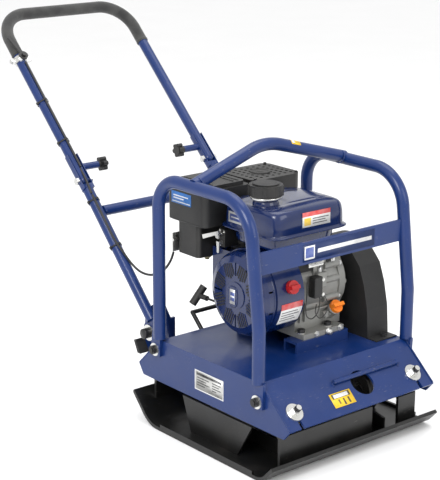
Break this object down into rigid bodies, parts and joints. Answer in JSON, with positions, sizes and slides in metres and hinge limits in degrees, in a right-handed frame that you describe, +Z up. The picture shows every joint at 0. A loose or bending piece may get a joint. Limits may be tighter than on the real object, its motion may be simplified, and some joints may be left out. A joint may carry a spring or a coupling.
{
  "type": "plate compactor",
  "caption": "Walk-behind vibratory plate compactor: black base plate on rubber mounts, blue engine deck in a tubular roll cage, petrol engine and belt drive, folding push handle.",
  "frame": {"origin": "centre of the base plate's flat sole, on the ground", "axes": "+X forward, +Y to the operator's left, +Z up"},
  "size_m": [1.1405, 0.5, 0.8691],
  "materials": {
    "frame_black": "semi-gloss black paint",
    "cast_iron": "as cast, painted dark",
    "steel": "ground steel",
    "rubber": "moulded rubber",
    "zinc": "bright zinc plate",
    "dark_bolts": "black oxide",
    "navy_paint": "gloss navy powder coat",
    "tank_paint": "high gloss navy enamel",
    "label": "printed foil plate",
    "cast_aluminium": "die cast, matt",
    "black_metal": "heat resistant black paint",
    "black_plastic": "grained black plastic",
    "red_plastic": "gloss red plastic",
    "orange_plastic": "gloss orange plastic",
    "foam": "closed cell foam",
    "cable_sheath": "black cable sheath",
    "rope": "braided cord"
  },
  "bodies": {
    "base": {"base_plate": "frame_black", "base_ribs": "frame_black", "isolator_brackets": "frame_black", "exciter_housing": "cast_iron", "exciter_covers": "cast_iron", "exciter_bearings": "steel", "rubber_mounts": "rubber"},
    "exciter": {"eccentric_shaft": "steel", "exciter_pulley": "cast_iron"},
    "deck": {"isolator_bolts": "zinc", "deck": "navy_paint", "handle_brackets": "navy_paint", "tie_down_bar": "navy_paint", "handle_bumpers": "rubber", "data_plate": "label", "engine_rails": "navy_paint", "crankcase": "cast_aluminium", "crankcase_cover": "cast_aluminium", "cylinder_head": "cast_aluminium", "rocker_cover": "black_metal", "spark_plug": "steel", "fan_shroud": "tank_paint", "recoil_cover": "tank_paint", "fuel_tank": "tank_paint", "muffler": "black_metal", "muffler_guard": "frame_black", "air_cleaner_base": "black_plastic", "air_cleaner_cover": "black_plastic", "carburetor": "cast_aluminium", "throttle_bracket": "zinc", "sensor_box": "black_plastic", "belt_guard": "frame_black", "drive_belt": "rubber", "cage_hoop_right": "navy_paint", "cage_hoop_left": "navy_paint", "lifting_arch": "navy_paint", "cross_plate": "navy_paint", "frame_bolts": "dark_bolts", "frame_washers": "zinc", "rear_bail": "frame_black"},
    "crank": {"crankshaft": "steel", "flywheel": "cast_iron", "clutch_pulley": "cast_iron"},
    "starter": {"starter_handle": "black_plastic", "starter_rope": "rope"},
    "engine_switch": {"engine_switch": "red_plastic"},
    "choke_lever": {"choke_lever": "zinc"},
    "fuel_valve_lever": {"fuel_valve_lever": "zinc"},
    "fuel_cap": {"fuel_cap": "black_plastic"},
    "oil_dipstick": {"oil_dipstick": "orange_plastic"},
    "lower_handle": {"lower_handle": "navy_paint", "fold_bolts": "zinc", "throttle_cable_lower": "cable_sheath"},
    "upper_handle": {"upper_handle": "navy_paint", "handle_grip": "foam", "throttle_clamp": "zinc", "throttle_cable_upper": "cable_sheath"},
    "throttle_lever": {"throttle_lever": "black_plastic"},
    "lock_pin_right": {"lock_pin_right": "black_plastic"},
    "lock_pin_left": {"lock_pin_left": "black_plastic"}
  },
  "joints": [
    {"name": "exciter_spin", "type": "hinge", "parent": "base", "child": "exciter", "pos_m": [0.055, 0, 0.064], "axis": [0, 1, 0], "continuous": true},
    {"name": "deck_bounce", "type": "slide", "parent": "base", "child": "deck", "axis": [0, 0, 1], "range_m": [-0.004, 0.004], "stiffness_N_per_m": 200000, "springref_m": 0.00302, "deforming": ["rubber_mounts", "drive_belt"]},
    {"name": "crank_spin", "type": "hinge", "parent": "deck", "child": "crank", "pos_m": [-0.034, 0, 0.33], "axis": [0, 1, 0], "continuous": true},
    {"name": "starter_pull", "type": "slide", "parent": "deck", "child": "starter", "axis": [-1, 0, -0.0089], "range_m": [0, 0.5], "stiffness_N_per_m": 12, "springref_m": -0.05},
    {"name": "engine_switch_turn", "type": "hinge", "parent": "deck", "child": "engine_switch", "pos_m": [-0.034, -0.057, 0.33], "axis": [0.9636, 0, 0.2672], "range_deg": [0, 60]},
    {"name": "choke_turn", "type": "hinge", "parent": "deck", "child": "choke_lever", "pos_m": [-0.106, -0.12, 0.45], "axis": [0, -1, 0], "range_deg": [0, 40]},
    {"name": "fuel_valve_turn", "type": "hinge", "parent": "deck", "child": "fuel_valve_lever", "pos_m": [-0.106, -0.12, 0.43], "axis": [0, -1, 0], "range_deg": [-60, 0]},
    {"name": "fuel_cap_turn", "type": "hinge", "parent": "deck", "child": "fuel_cap", "pos_m": [-0.015, -0.066, 0.549], "axis": [0, 0, 1], "range_deg": [-90, 0]},
    {"name": "dipstick_turn", "type": "hinge", "parent": "deck", "child": "oil_dipstick", "pos_m": [0.026, 0.09, 0.258], "axis": [0.766, 0, 0.6428], "range_deg": [0, 90]},
    {"name": "handle_lift", "type": "hinge", "parent": "deck", "child": "lower_handle", "pos_m": [-0.268, 0, 0.193], "axis": [0, 1, 0], "range_deg": [0, 15]},
    {"name": "handle_fold", "type": "hinge", "parent": "lower_handle", "child": "upper_handle", "pos_m": [-0.526, 0, 0.5028], "axis": [0, 1, 0], "range_deg": [0, 95]},
    {"name": "throttle_turn", "type": "hinge", "parent": "upper_handle", "child": "throttle_lever", "pos_m": [-0.7874, -0.191, 0.75611], "axis": [0.6959, 0, 0.7181], "range_deg": [0, 60]},
    {"name": "lock_pin_right_pull", "type": "slide", "parent": "lower_handle", "child": "lock_pin_right", "axis": [0, 1, 0], "range_m": [0, 0.014], "stiffness_N_per_m": 1500},
    {"name": "lock_pin_left_pull", "type": "slide", "parent": "lower_handle", "child": "lock_pin_left", "axis": [0, -1, 0], "range_m": [0, 0.014], "stiffness_N_per_m": 1500}
  ],
  "couplings": [
    {"joint": "exciter_spin", "follows": "crank_spin", "ratio": 1.6}
  ]
}
